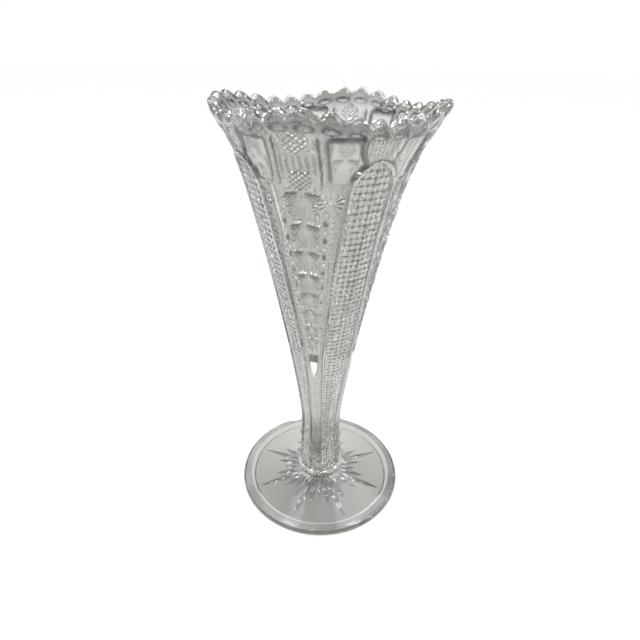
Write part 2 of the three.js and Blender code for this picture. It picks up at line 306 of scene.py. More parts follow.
def arch_relief(side, z):
    """Relief and shade of an arched panel."""
    border = change(z, *BORDER_GROWTH)
    inset = arch_inset(side, z) / border
    masked = ramp(inset, *BEAD_ZONE)
    pitch = (arch_half_width(z) - border) / (BEAD_COLUMNS / 2)
    height = BEAD_RELIEF_SHARE * np.minimum(pitch, BEAD_WIDEST) * change(z, *BEAD_GROWTH)
    across, up = side / pitch + BEAD_COLUMNS / 2, bead_row(z)
    column, row = whole(across), whole(up)
    odd, even = drawn(row, column), drawn(row + SECOND_DRAW[0], column + SECOND_DRAW[1])
    across = np.abs(across - column - 0.5 + BEAD_JITTER * (even - 0.5))
    up = np.abs(up - row - 0.5 + BEAD_JITTER * (odd - 0.5))
    away = oval(across, 0.5, up, 0.5)
    out = BORDER_RELIEF * plateau(inset, *RIB_ZONE) - FIELD_DEPTH * ramp(inset, *FIELD_ZONE)
    out = out + height * dome(BEAD_SPREAD * away) * masked
    pits = mix(*PIT_SHADES, even) * ramp(up, *PIT_SPAN) * ramp(across, *PIT_SPAN)
    lines = odd * ramp(up, *LINE_SPAN) + UPRIGHT_LINES * even * ramp(across, *LINE_SPAN)
    pits = pits + change(z, *LINE_GROWTH) * lines
    pits = pits + DOT_SHADE * odd * (1 - ramp(away, *DOT_SPAN))
    light = change(z, *BEAD_LIGHT_GROWTH) * (1 - ramp(away, *BEAD_LIGHT_SPAN))
    pits = pits * change(z, *STEM_PIT_GROWTH) - light
    outline = plateau(inset, *OUTLINE_ZONE) * change(z, *OUTLINE_GROWTH)
    shade = (FIELD_SHADE + PIT_SHARE * pits) * masked
    shade = shade + OUTLINE_SHADE * outline - CREST_LIGHT * plateau(inset, *CREST_ZONE)
    shade = shade * ramp(z, BODY_BASE, BODY_BASE + BASE_FADE)
    return out, shade - STEM_LIGHT * (1 - ramp(z, *STEM_LIGHT_SPAN))


# Flutes: two hollows beside the ladder. The one beside the arched panel gets a little painted
# shade.
FLUTE_DEPTH = 0.0009
FLUTE_STEEPEST = 0.28
FLUTE_SHADE = 0.35
FLUTE_SHADED = (0.5, 0.65, 0.9, 1.0)


def flute_relief(across, ladder, edge, z):
    share = np.clip((across - ladder) / (edge - ladder), 0, 1)
    width = (edge - ladder) / 2
    fade = 1 - ramp(z, LADDER_TOP, PANEL_LINE)
    depth = np.minimum(FLUTE_DEPTH, FLUTE_STEEPEST * width) * fade
    two = ramp(z, DROP_TIP, DROP_TOP)
    shape = two * np.abs(np.sin(2 * np.pi * share)) + (1 - two) * np.sin(np.pi * share)
    return -depth * shape, FLUTE_SHADE * plateau(share, *FLUTE_SHADED) * fade * (across > ladder)


# Ladders: tiers that lean out to arched ledges. Shares are of a tier's height or half width.
TIERS = 8
TIER_LEDGE = 0.0007
TIER_RELIEF = 0.0006
TIER_ARCH = 0.0011
TIER_BULGE = 1.3
TIER_EDGE = (0.96, 1.04)
# Painted shade over the tiers, in the feathered cuts, under each ledge, around the ears and across
# the fans; painted light on the thumbprints, the ears' cores, between the fans' lines and in a line
# of sparks above each ledge.
TIER_SHADE = 0.30
WIDE_LADDER = (0.003, 0.0055)
THUMB_MIDDLE = 0.52
THUMB_HALF_WIDTH = 0.62
THUMB_HALF_HEIGHT = 0.33
THUMB_HOLLOW = 0.0006
THUMB_LIGHT = 0.3
THUMB_LIGHT_SPAN = (0.4, 0.7)
FEATHER_PITCH = 0.0012
FEATHER_SLANT = 0.8
FEATHER_REACH = (0.0018, 0.0034)
FEATHER_ZONE = (0.15, 0.35, 0.95, 1.0)
FEATHER_DEPTH = 0.0004
FEATHER_SHADE = 0.9
FEATHER_LIGHT = 0.15
EAR_ZONE = (0.66, 0.76, 0.97, 1.0)
EAR_PLACE = (0.84, 0.22)
EAR_HALF_SIZE = (0.15, 0.2)
EAR_END = 0.45
EAR_RELIEF = 0.00045
EAR_OUTLINE = (1, 0.3)
EAR_OUTLINE_SHADE = 0.6
EAR_CORE = 0.4
EAR_CORE_LIGHT = 0.7
FAN_PLACE = (1.06, 0.66)
FAN_ZONE = (0.06, 0.16, 0.5, 0.58)
FAN_SPREAD = (52, 60)
FAN_PITCH = 22
FAN_RELIEF = 0.0003
FAN_SHADES = (1.1, -0.9)
LEDGE_LINE = (0.0006, 0.0005)
LEDGE_LINE_SPAN = (0.05, 0.4)
LEDGE_LINE_SHADES = (0.25, 0.7)
LEDGE_LINE_RANGE = (1.3, 0.6)
SPARK_LINE = (0.0004, 0.0004)
SPARK_LIGHT = 1.2
SPARK_RANGE = (0.3, 2)
PIECES_PER_LEDGE = 5


def tier_bounds():
    growth = (body_radius(LADDER_TOP) / body_radius(LADDER_BOTTOM)) ** (1 / TIERS)
    first = (LADDER_TOP - LADDER_BOTTOM) * (growth - 1) / (growth ** TIERS - 1)
    return LADDER_BOTTOM + first * (growth ** np.arange(TIERS + 1) - 1) / (growth - 1)


TIER_BOUNDS = tier_bounds()


def tier_relief(across, ladder, z):
    """Relief and shade of the ladder: each tier has a hollow thumbprint, feathered cuts along its
    ledge, and round ears and fans at its edges."""
    u = across / ladder
    bend = TIER_ARCH * np.minimum(u, 1) ** 2
    tier = np.clip(np.searchsorted(TIER_BOUNDS, z + bend, side="right") - 1, 0, TIERS - 1)
    low, high = TIER_BOUNDS[tier], TIER_BOUNDS[tier + 1]
    above, below = z + bend - low, high - z - bend
    share = above / (high - low)
    lean = np.clip((above - TIER_LEDGE) / (high - low - TIER_LEDGE), 0, 1)
    face = TIER_RELIEF * (0.5 - ramp(above, 0, TIER_LEDGE) + lean ** TIER_BULGE)
    thumb = dome(oval(u, THUMB_HALF_WIDTH, share - THUMB_MIDDLE, THUMB_HALF_HEIGHT))
    feathers = (1 - ramp(below, *FEATHER_REACH)) * plateau(u, *FEATHER_ZONE)
    strokes = 1 - wave(across + FEATHER_SLANT * below, FEATHER_PITCH)
    ears = plateau(u, *EAR_ZONE) * (share < EAR_END)
    ear = oval(u - EAR_PLACE[0], EAR_HALF_SIZE[0], share - EAR_PLACE[1], EAR_HALF_SIZE[1])
    fan_side, fan_up = (FAN_PLACE[0] - u) * ladder, (share - FAN_PLACE[1]) * (high - low)
    fan_turn = np.degrees(np.arctan2(fan_up, fan_side))
    fan = plateau(np.hypot(fan_side, fan_up) / ladder, *FAN_ZONE)
    fan = fan * (1 - ramp(np.abs(fan_turn), *FAN_SPREAD))
    fan_lines = 1 - wave(fan_turn, FAN_PITCH)
    out = face - THUMB_HOLLOW * thumb - FEATHER_DEPTH * feathers * strokes
    out = out + EAR_RELIEF * ears * dome(ear) + FAN_RELIEF * fan * fan_lines
    wide = ramp(ladder, *WIDE_LADDER)
    shade = TIER_SHADE + FEATHER_SHADE * wide * feathers * (strokes - FEATHER_LIGHT)
    shade = shade - THUMB_LIGHT * thumb * ramp(share, *THUMB_LIGHT_SPAN)
    uneven_painted_shading = drawn(7 * tier + 3, whole(PIECES_PER_LEDGE * u))
    line = stripe(below, *LEDGE_LINE) * ramp(u, *LEDGE_LINE_SPAN) * mix(*LEDGE_LINE_RANGE, uneven_painted_shading)
    spark = stripe(above, *SPARK_LINE) * mix(*SPARK_RANGE, uneven_painted_shading)
    shade = shade + mix(*LEDGE_LINE_SHADES, wide) * line - SPARK_LIGHT * spark
    shade = shade + wide * fan * mix(*FAN_SHADES, fan_lines)
    ear_shade = EAR_OUTLINE_SHADE * stripe(ear, *EAR_OUTLINE) - EAR_CORE_LIGHT * (ear < EAR_CORE)
    shade = shade + ears * ear_shade
    inside = 1 - ramp(u, *TIER_EDGE)
    return out * inside, shade * inside


# Pearls: a row along the flute beside the ladder, below a pair of fans
PEARLS_PER_TIER = 3.5
PEARL_PLACE = 0.24
PEARL_HALF_WIDTH = 0.0011
PEARL_HALF_LENGTH = 0.40
PEARL_GROWTH = (0.085, 0.150)
PEARL_RELIEF = 0.00055
PEARL_ROUNDNESS = 0.6
PEARL_RING = (0.35, 0.7, 1.0, 1.5)
PEARL_RING_SHADE = 0.7
PEARL_CORE_SHADES = (-0.8, 1.5)
FANS_HEIGHT = 0.1714
FANS_PLACE = 0.42
FANS_REACH = 0.0050
FANS_ZONE = (0.0004, 0.0008, 0.85 * FANS_REACH, FANS_REACH)
FANS_SPREAD = (48, 54)
FANS_PITCH = 26
FANS_RELIEF = 0.0002
FANS_SHADES = (-1.0, 1.2)
PEARLS_END = FANS_HEIGHT - 0.6 * FANS_REACH


def pearl_relief(across, ladder, edge, z):
    """Small oval pearls in a ring of painted shade, with painted light and painted shade in their
    middles by turns, and the fans with painted shade and light across them.
    """
    pitch = (TIER_BOUNDS[-1] - TIER_BOUNDS[-2]) / PEARLS_PER_TIER
    row = (LADDER_TOP - z) / pitch
    size = ramp(z, *PEARL_GROWTH) * (z < PEARLS_END)
    beside = across - ladder - PEARL_PLACE * (edge - ladder)
    half_width = PEARL_HALF_WIDTH * (0.5 + 0.5 * size)
    away = oval(beside, half_width, row - np.floor(row) - 0.5, PEARL_HALF_LENGTH)
    core = mix(*PEARL_CORE_SHADES, np.floor(row) % 2) * (away < PEARL_RING[0])
    aside, up = across - ladder - FANS_PLACE * (edge - ladder), z - FANS_HEIGHT
    turn = np.degrees(np.arctan2(up, np.abs(aside)))
    fans = plateau(np.hypot(aside, up), *FANS_ZONE) * (1 - ramp(np.abs(turn), *FANS_SPREAD))
    cuts = wave(turn, FANS_PITCH)
    out = PEARL_RELIEF * size * np.maximum(0, 1 - away) ** PEARL_ROUNDNESS
    shade = size * (PEARL_RING_SHADE * plateau(away, *PEARL_RING) + core)
    return out + FANS_RELIEF * fans * (1 - cuts), shade + fans * mix(*FANS_SHADES, cuts)


# Drop: the pointed facet below the ladder, a lance of painted light with painted shade at its upper
# end and a painted dark outline
DROP_HALF_WIDTH = 0.0021
DROP_BLUNTNESS = 0.08
DROP_CURVE = 0.75
DROP_RELIEF = 0.000375
DROP_FLANK = 1.6
DROP_ENDS = (0, 0.3, 1, 1.04)
DROP_INSIDE = (0.75, 0.95)
DROP_SHADES = (0.64, 0.76, -3.2, 1.2)
DROP_LINE = (1, 0.22)
DROP_LINE_SHADE = 0.9
DROP_LINE_MARGIN = 0.0005


def drop_relief(across, z):
    along = (z - DROP_TIP) / DROP_LENGTH
    share = across / (DROP_HALF_WIDTH * np.clip(2 * along, DROP_BLUNTNESS, 1) ** DROP_CURVE)
    roof = np.minimum(DROP_FLANK * np.maximum(0, 1 - share), 1)
    inside = (1 - ramp(share, *DROP_INSIDE)) * (z > DROP_TIP) * (z < DROP_TOP)
    lined = (z > DROP_TIP - DROP_LINE_MARGIN) * (z < DROP_TOP + DROP_LINE_MARGIN)
    shade = inside * change(along, *DROP_SHADES)
    shade = shade + DROP_LINE_SHADE * stripe(share, *DROP_LINE) * lined
    return DROP_RELIEF * roof * plateau(along, *DROP_ENDS), shade


# Buttons: two domes on each ladder's head, cut with a lattice as chair cane
UPPER_BUTTON = RIM_HEIGHT - 0.0096
LOWER_BUTTON = RIM_HEIGHT - 0.0226
BUTTON_RELIEF = 0.0008
BUTTON_HALF_HEIGHT = 0.0041
BUTTON_HALF_WIDTH = 0.0048
BUTTON_EDGE = 0.12
CANE_WIDTH = 0.0024
CANE_HEIGHT = 0.0018
CANE_DEPTH = 0.0005
CANE_SHARPNESS = 0.6
# Painted shade in the lattice's cuts and painted light on its crowns
CANE_CUT_SPAN = (0.35, 0.8)
CANE_CUT_SHADE = 0.9
CANE_CROWN_SPAN = (0.75, 0.95)
CANE_CROWN_LIGHT = 1.3


def button_relief(across, z, centre):
    away = oval(across, BUTTON_HALF_WIDTH, z - centre, BUTTON_HALF_HEIGHT)
    wide, high = across / CANE_WIDTH, (z - centre) / CANE_HEIGHT
    lattice = np.abs(np.sin(np.pi * (wide + high)) * np.sin(np.pi * (wide - high)))
    inside = ramp(1 - away, 0, BUTTON_EDGE)
    cut = inside * (1 - lattice ** CANE_SHARPNESS)
    shade = CANE_CUT_SHADE * ramp(cut, *CANE_CUT_SPAN)
    shade = shade - CANE_CROWN_LIGHT * inside * ramp(lattice, *CANE_CROWN_SPAN)
    return BUTTON_RELIEF * dome(away) - CANE_DEPTH * cut, shade


# Head of the ladder: upright ribs and slanted strokes beside the buttons, and a pilaster
HEAD_BOTTOM = 0.1755
RIB_PITCH = 0.0024
RIB_RELIEF = 0.0004
RIB_SIDE = (0.0078, 0.0088)
RIB_HEIGHTS = (0.1815, 0.1835, 0.1885, 0.1905)
STROKE_PITCH = 0.0016
STROKE_SLANT = 0.6
STROKE_MIDDLE = 0.193
STROKE_RELIEF = 0.00035
STROKE_SIDES = (0.0056, 0.0062, 0.0084, 0.009)
STROKE_HEIGHTS = (0.1905, 0.1915, 0.1945, 0.1955)
# Painted shade between the ribs and the strokes and along the pilaster
HEAD_CUT_SHADE = 0.7
PILASTER = (0.0079, 0.0005)
PILASTER_HEIGHTS = (0.1765, 0.179, 0.1945, 0.1965)
PILASTER_DEPTH = 0.00025
PILASTER_SHADE = 1.1


def head_relief(across, z):
    ribs, room = wave(across, RIB_PITCH), plateau(z, *RIB_HEIGHTS) * (1 - ramp(across, *RIB_SIDE))
    strokes = wave(across + STROKE_SLANT * (z - STROKE_MIDDLE), STROKE_PITCH)
    block = plateau(across, *STROKE_SIDES) * plateau(z, *STROKE_HEIGHTS)
    pilaster = stripe(across, *PILASTER) * plateau(z, *PILASTER_HEIGHTS)
    out = RIB_RELIEF * ribs * room + STROKE_RELIEF * strokes * block - PILASTER_DEPTH * pilaster
    shade = HEAD_CUT_SHADE * ((1 - ribs) * room + (1 - strokes) * block)
    return out, shade + PILASTER_SHADE * pilaster


# Windows: smooth panes between the head and the arched panels, with a flame of ribs beside each
WINDOW_NEAR = 0.0100
WINDOW_FAR = 0.0237
WINDOW_WAIST = 0.190
WINDOW_FLARE = 60
WINDOW_TOP = 0.1957
WINDOW_BOTTOM = 0.1785
WINDOW_CORNER = 0.0026
WINDOW_ARCH_GAP = 0.0002
PANE_DEPTH = 0.00045
PANE_EDGE = 0.0009
# Painted light on the panes and the flame's ribs; painted shade between the ribs, along the panes'
# edges and in a bracket-shaped line beside the arch
PANE_LIGHT = 0.3
PANE_LIGHT_SPAN = (0.001, 0.003)
FRAME_LINE = (-0.0004, 0.0005)
FRAME_HEIGHTS = (0.176, WINDOW_BOTTOM)
FRAME_RELIEF = 0.00035
EDGE_LINE_GROWTH = (0.186, 0.193, 0.0009, 0.0012)
EDGE_LINE_HEIGHTS = (0.1775, 0.181)
EDGE_LINE_SHADE = 1.1
FLAME_PITCH = 0.0017
FLAME_RELIEF = 0.0003
FLAME_SIDE = (0.0004, 0.0012)
FLAME_ARCH_GAP = (0.0003, 0.001)
FLAME_HEIGHTS = (0.184, 0.186, 0.1945, 0.196)
FLAME_SHADES = (0.35, -0.45)
BRACKET_LINE = (0.0004, 0.0004)
BRACKET_ARCH_GAP = (0.0002, 0.0006)
BRACKET_HEIGHTS = (0.181, 0.183, 0.1950, 0.1965)
BRACKET_SHADE = 0.9


def window_relief(across, side, z):
    far = WINDOW_FAR + WINDOW_FLARE * (z - WINDOW_WAIST) ** 2
    off_arch = -arch_inset(side, z)
    inwards = WINDOW_CORNER - np.minimum(across - WINDOW_NEAR, far - across)
    downwards = WINDOW_CORNER - (WINDOW_TOP - z)
    inset = WINDOW_CORNER - np.hypot(np.maximum(inwards, 0), np.maximum(downwards, 0))
    inset = np.minimum(inset, off_arch - WINDOW_ARCH_GAP)
    width = change(z, *EDGE_LINE_GROWTH)
    line = stripe(inset, width, width) * ramp(z, *EDGE_LINE_HEIGHTS)
    inset = np.minimum(inset, z - WINDOW_BOTTOM)
    edge = stripe(inset, *FRAME_LINE) * ramp(z, *FRAME_HEIGHTS)
    flame = ramp(across - far, *FLAME_SIDE) * ramp(off_arch, *FLAME_ARCH_GAP)
    flame = flame * plateau(z, *FLAME_HEIGHTS)
    ribs = wave(side, FLAME_PITCH)
    bracket = stripe(across - far, *BRACKET_LINE) * ramp(off_arch, *BRACKET_ARCH_GAP)
    out = FRAME_RELIEF * edge + FLAME_RELIEF * flame * ribs - PANE_DEPTH * ramp(inset, 0, PANE_EDGE)
    shade = EDGE_LINE_SHADE * line + flame * mix(*FLAME_SHADES, ribs)
    shade = shade + BRACKET_SHADE * bracket * plateau(z, *BRACKET_HEIGHTS)
    return out, shade - PANE_LIGHT * ramp(inset, *PANE_LIGHT_SPAN)


# Lip: each scallop stands out as a round lobe with a flat oval dimple below it.
LIP_THICKNESS = 0.004
LIP_ROUND = LIP_THICKNESS / 2
LIP_ROLL = 0.00057
LIP_ROLL_BELOW = LIP_ROLL + 0.0001
LIP_ROLL_SPAN = (0.1935, 0.199)
LIP_RINGS = 16
LIP_TURN = (-32, 180)
# Painted shade over the lip's inner edge, on the lobes and around the ovals; painted light on the
# lip's outside, inside the ovals and in two highlights on each scallop
LIP_SHADE = 0.9
LIP_SHADE_RINGS = (0.6 * LIP_RINGS, 0.8 * LIP_RINGS, LIP_RINGS - 1, LIP_RINGS + 4)
LIP_SHADE_GROWTH = (0.1940, 0.1985, 0.5, 1)
LIP_LIGHT = 0.3
LIP_DOT_RINGS = (5, 13)
LIP_DOT_PLACE = 0.42
LIP_DOT_HALF_WIDTH = 0.07
LIP_DOT_LIGHT = 1.7
LOBE_MIDDLE = RIM_HEIGHT - 0.003
LOBE_LENGTH = 0.0042
LOBE_RELIEF = 0.00012
LOBE_SQUARENESS = 0.9
LOBE_SHADE = 0.1 * LIP_SHADE
LOBE_SHADE_SPAN = (0.1975, 0.1995)
SCALLOP_SPAN = (0.187, LOBE_MIDDLE)
OVAL_HEIGHT = RIM_HEIGHT - 0.0062
OVAL_HALF_WIDTH = 0.0032
OVAL_HALF_HEIGHT = 0.0010
OVAL_DEPTH = 0.0005
OVAL_LINE = (0.9, 0.45)
OVAL_LIGHT = 0.6
OVAL_LIGHT_SPAN = (0, 0.4)


def lobe_relief(angle, z, level):
    """Relief and shade of the lobes. The height z follows the scallops, and level follows only the
    raised corners."""
    beside = beside_crest(angle)
    down = np.clip((LOBE_MIDDLE - z) / LOBE_LENGTH, 0, 1)
    bulge = dome(beside ** 2 * LOBE_SQUARENESS + down ** 2)
    lobe = LOBE_RELIEF * (bulge - 1) * ramp(z, LOBE_MIDDLE - 2 * LOBE_LENGTH, LOBE_MIDDLE)
    across = beside * math.pi / SCALLOPS * RIM_RADIUS
    away = oval(across, OVAL_HALF_WIDTH, level - OVAL_HEIGHT, OVAL_HALF_HEIGHT)
    shade = LOBE_SHADE * ramp(z, *LOBE_SHADE_SPAN) + stripe(away, *OVAL_LINE)
    shade = shade - OVAL_LIGHT * (1 - ramp(away, *OVAL_LIGHT_SPAN))
    return lobe - OVAL_DEPTH * dome(away), shade


BASE_SMOOTH = (BODY_BASE + 0.0005, BODY_BASE + 0.003)


def relief(angle, z):
    """Outward relief and shade, from the angle to the nearest ladder and the height."""
    radius = body_radius(z)
    across = angle * radius
    side = (HALF_QUARTER - angle) * radius
    edge = HALF_QUARTER * radius - arch_half_width(z)
    ladder = np.minimum(ladder_half_width(z), edge * LADDER_WIDEST_SHARE)
    ledge = z + TIER_ARCH * np.minimum(across / ladder, 1) ** 2
    parts = [
        (True, arch_relief(side, z)),
        (across > ladder, flute_relief(across, ladder, edge, z)),
        (True, pearl_relief(across, ladder, edge, z)),
        ((z >= LADDER_BOTTOM) & (ledge < LADDER_TOP), tier_relief(across, ladder, z)),
        (z < LADDER_BOTTOM, drop_relief(across, z)),
        (True, button_relief(across, z, UPPER_BUTTON)),
        (True, button_relief(across, z, LOWER_BUTTON)),
        (z > HEAD_BOTTOM, head_relief(across, z)),
        (z > HEAD_BOTTOM, window_relief(across, side, z)),
    ]
    out = sum(np.where(where, part, 0) for where, (part, _) in parts)
    shade = sum(np.where(where, part, 0) for where, (_, part) in parts)
    return out * ramp(z, *BASE_SMOOTH), shade


def whole_turn(half):
    """Spreads the values of half a quarter's columns over the whole turn."""
    column = np.arange(COLUMNS)
    inside = column % (2 * HALF_COLUMNS)
    return half[..., np.minimum(inside, 2 * HALF_COLUMNS - inside)]


def ring_points(angle, radius, z):
    """Points of one ring or more from the folded angle, radius and height of each column."""
    column = np.arange(COLUMNS)
    ladder = (column + HALF_COLUMNS) // (2 * HALF_COLUMNS)
    sign = np.sign(column - ladder * 2 * HALF_COLUMNS)
    turn = LADDER_DIRECTION + ladder * 2 * HALF_QUARTER + sign * whole_turn(angle)
    radius, z = whole_turn(radius), whole_turn(z)
    return np.stack([radius * np.sin(turn), -radius * np.cos(turn), z + 0 * turn], -1)


ROWS_PER_BEAD = 6
STEM_ROWS_PER_BEAD = 4
FIRST_BEAD = -2
OUTSIDE_TOP = RIM_HEIGHT - 0.0043
UPPER_ROW = 0.00042


def outer_rows():
    """Heights of the rows of the outside: coarse at the base, then tied to the beads, then even."""
    first = math.ceil(bead_row(BODY_BASE) * STEM_ROWS_PER_BEAD)
    last = math.floor(bead_row(ARCH_TOP) * ROWS_PER_BEAD)
    stem = np.arange(first, FIRST_BEAD * STEM_ROWS_PER_BEAD) / STEM_ROWS_PER_BEAD
    beads = np.arange(FIRST_BEAD * ROWS_PER_BEAD, last + 1) / ROWS_PER_BEAD
    heights = list(bead_row_height(np.concatenate([stem, beads])))
    count = round((OUTSIDE_TOP - heights[-1]) / UPPER_ROW)
    upper = np.linspace(heights[-1], OUTSIDE_TOP, count + 1)[1:]
    return np.array([BODY_BASE] + heights + list(upper))


def outside():
    """Points of the outside and their shade."""
    z = outer_rows()
    angle = grid_angles(z)
    nominal = z[:, None] + 0 * angle
    share = ramp(nominal, *SCALLOP_SPAN)
    height = nominal + (rim_top(angle) - RIM_HEIGHT) * share
    level = height - CORNER_LIFT * np.cos(QUARTERS * angle) * share
    roll = LIP_ROLL_BELOW * ramp(nominal, *LIP_ROLL_SPAN)
    raised, shade = relief(angle, height)
    lobes, lobe_shade = lobe_relief(angle, nominal, level)
    radius = body_radius(height) + corner_pull(angle, height) + raised + lobes + roll
    along = np.gradient(raised, axis=0) / np.gradient(height, axis=0)
    across = np.gradient(raised, axis=1) / (np.gradient(angle, axis=1) * body_radius(height))
    steep = STEEP_SHADE * ramp(np.hypot(along, across), *STEEP_SPAN)
    return ring_points(angle, radius, height), whole_turn(shade + lobe_shade + steep)


def lip():
    """Rings of the rounded lip, from the outside over the top to the inside."""
    centre = rim_top(EVEN_ANGLES) - LIP_ROUND
    middle = body_radius(centre) + LIP_ROLL - LIP_ROUND + corner_pull(EVEN_ANGLES, centre)
    lobe = lobe_relief(EVEN_ANGLES, LOBE_MIDDLE, LOBE_MIDDLE)[0]
    rings = []
    for turn in np.radians(np.linspace(*LIP_TURN, LIP_RINGS)):
        out = middle + LIP_ROUND * math.cos(turn) + lobe * max(0, math.cos(turn))
        rings.append(ring_points(EVEN_ANGLES, out, centre + LIP_ROUND * math.sin(turn)))
    return rings


def lip_shades(rings):
    """Painted shades from the lip's first ring to the cavity's last: painted light outside, painted
    shade over the inner edge, and two painted highlights on each scallop."""
    beside = np.abs(beside_crest(EVEN_ANGLES))
    dots = whole_turn((np.abs(beside - LIP_DOT_PLACE) < LIP_DOT_HALF_WIDTH) * 1.0)
    shades = []
    for i, ring in enumerate(rings):
        shade = LIP_SHADE * plateau(i, *LIP_SHADE_RINGS) * change(ring[:, 2], *LIP_SHADE_GROWTH)
        shade = shade - LIP_LIGHT * (i < LIP_SHADE_RINGS[0])
        if i in LIP_DOT_RINGS:
            shade = shade - LIP_DOT_LIGHT * dots
        shades += list(shade)
    return shades


# Cavity
CAVITY_FLOOR = 0.018
CAVITY_FLOOR_RADIUS = 0.0046
STEM_WALL = 0.0048
RIM_WALL = 0.0032
INNER_FLARE_DROP = 0.0104
INNER_FLARE_SHARES = (0.2, 0.4, 0.6, 0.8)
INNER_FLARE_CURVE = 0.85
CAVITY_RINGS = 22
BORE_RINGS = 5
FLOOR_TURNS = (20, 40, 60, 78)


def cavity_radius(z):
    wall = mix(STEM_WALL, RIM_WALL, np.clip((z - STEM_TOP) / (RIM_HEIGHT - STEM_TOP), 0, 1))
    share = (z - CAVITY_FLOOR) / (STEM_TOP - CAVITY_FLOOR)
    bore = mix(CAVITY_FLOOR_RADIUS, STEM_RADIUS - STEM_WALL, share)
    return np.where(z > STEM_TOP, body_radius(z) - wall, bore)


def cavity():
    """Rings of the cavity from under the lip down to its round floor, with every second column."""
    plain = 0 * EVEN_ANGLES
    under_lip = rim_top(EVEN_ANGLES) - LIP_ROUND
    inner_lip = body_radius(under_lip) + LIP_ROLL - LIP_THICKNESS
    inner_lip = inner_lip + corner_pull(EVEN_ANGLES, under_lip)
    start = RIM_HEIGHT - INNER_FLARE_DROP
    rings = []
    for share in INNER_FLARE_SHARES:
        radius = mix(inner_lip, cavity_radius(start), share ** INNER_FLARE_CURVE)
        rings.append((radius, mix(under_lip, start, share)))
    floor_round = CAVITY_FLOOR + CAVITY_FLOOR_RADIUS
    upper = np.linspace(start, STEM_TOP, CAVITY_RINGS)
    lower = np.linspace(STEM_TOP, floor_round, BORE_RINGS)[1:]
    for z in np.concatenate([upper, lower]):
        rings.append((plain + cavity_radius(z), plain + z))
    for turn in np.radians(FLOOR_TURNS):
        radius = cavity_radius(floor_round) * math.cos(turn)
        rings.append((plain + radius, plain + floor_round - CAVITY_FLOOR_RADIUS * math.sin(turn)))
    return [ring_points(EVEN_ANGLES, radius, z)[::2] for radius, z in rings]


def skin(name, rings, start_point, end_point):
    """Closed mesh over a stack of rings. A ring has as many points as the one before, or half as
    many. The faces of the two ends come first."""
    points, faces, starts = [], [], []
    for ring in rings:
        starts.append(len(points))
        points.extend(map(tuple, ring))
    for i in range(len(rings) - 1):
        n, m, a, b = len(rings[i]), len(rings[i + 1]), starts[i], starts[i + 1]
        if n == m:
            faces += [(a + j, a + (j + 1) % n, b + (j + 1) % n, b + j) for j in range(n)]
        else:
            for j in range(m):
                p, q, r = a + 2 * j, a + (2 * j + 1) % n, a + (2 * j + 2) % n
                s, t = b + j, b + (j + 1) % m
                faces += [(p, q, s), (q, t, s), (q, r, t)]
    first, last = len(points), len(points) + 1
    points += [start_point, end_point]
    n = len(rings[0])
    lower = [(first, starts[0] + (j + 1) % n, starts[0] + j) for j in range(n)]
    n = len(rings[-1])
    upper = [(last, starts[-1] + j, starts[-1] + (j + 1) % n) for j in range(n)]
    mesh = bpy.data.meshes.new(name)
    mesh.from_pydata(points, [], lower + upper + faces)
    mesh.shade_smooth()
    obj = bpy.data.objects.new(name, mesh)
    bpy.context.scene.collection.objects.link(obj)
    return obj


def mark_glints(obj, caps, rings, shades):
    """Gives the second material to the glints between rings of equal size, each known by its first
    point. The clearer the point the likelier the glint, and points that lie within the same small
    square share one draw. The faces of the two ends are counted by caps."""
    rings, shades = np.asarray(rings), np.asarray(shades).reshape(len(rings), -1)
    turn = np.arctan2(rings[..., 0], -rings[..., 1])
    arc = whole(turn * np.hypot(rings[..., 0], rings[..., 1]) / GLINT_SIZE)
    marks = (ramp(-shades, *GLINT_SPAN) > drawn(whole(rings[..., 2] / GLINT_SIZE), arc))[:-1]
    index = np.zeros(len(obj.data.polygons), np.int32)
    index[caps:caps + marks.size] = marks.ravel()
    obj.data.polygons.foreach_set("material_index", index)


def shade_points(obj, values):
    shade = np.zeros(len(obj.data.vertices), np.float32)
    shade[:len(values)] = values
    obj.data.attributes.new("shade", "FLOAT", "POINT").data.foreach_set("value", shade)
    return obj


# Painted light and shade in random speckles on the base of the stem
BASE_SPECKLE = (0.5, 1.7)
BASE_SPECKLE_SPAN = (0.0165, 0.030)


def trumpet():
    outer, shade = outside()
    rest = lip() + cavity()
    draws = DRAWS[np.arange(len(outer)) % DRAWS.shape[0], :COLUMNS // SPECKLE_COLUMNS]
    speckle = BASE_SPECKLE[0] - BASE_SPECKLE[1] * draws.repeat(SPECKLE_COLUMNS, axis=1)
    shade = shade + speckle * (1 - ramp(outer[..., 2], *BASE_SPECKLE_SPAN))
    shades = list(shade.ravel()) + lip_shades(rest)
    rings = list(outer) + rest
    obj = skin("trumpet_glass", rings, (0, 0, BODY_BASE), (0, 0, CAVITY_FLOOR))
    full = len(outer) + LIP_RINGS
    mark_glints(obj, len(rings[0]) + len(rings[-1]), rings[:full], shades[:full * COLUMNS])
    return shade_points(obj, shades)


# Wafer. It reaches FUSED into the foot and the stem, so that no air shows between them.
FUSED = 0.000003
WAFER_RINGS = 13
WAFER_COLUMNS = 160
# Painted light and shade at random on the wafer
WAFER_SHADES = (0.3, -1.3)


def wafer():
    half = (BODY_BASE - FOOT_TOP) / 2
    edge = WAFER_RADIUS - STEM_BASE_RADIUS
    turn = 2 * np.pi * np.arange(WAFER_COLUMNS) / WAFER_COLUMNS
    rings = []
    for bend in np.radians(np.linspace(-90, 90, WAFER_RINGS)):
        radius = STEM_BASE_RADIUS + edge * math.cos(bend)
        z = FOOT_TOP + half + (half + FUSED) * math.sin(bend)
        rings.append(np.stack([radius * np.sin(turn), -radius * np.cos(turn), z + 0 * turn], -1))
    shades = mix(*WAFER_SHADES, DRAWS[:WAFER_RINGS, :WAFER_COLUMNS])
    obj = skin("wafer_glass", rings, (0, 0, FOOT_TOP - FUSED), (0, 0, BODY_BASE + FUSED))
    mark_glints(obj, 2 * WAFER_COLUMNS, rings, shades)
    return shade_points(obj, shades.ravel())


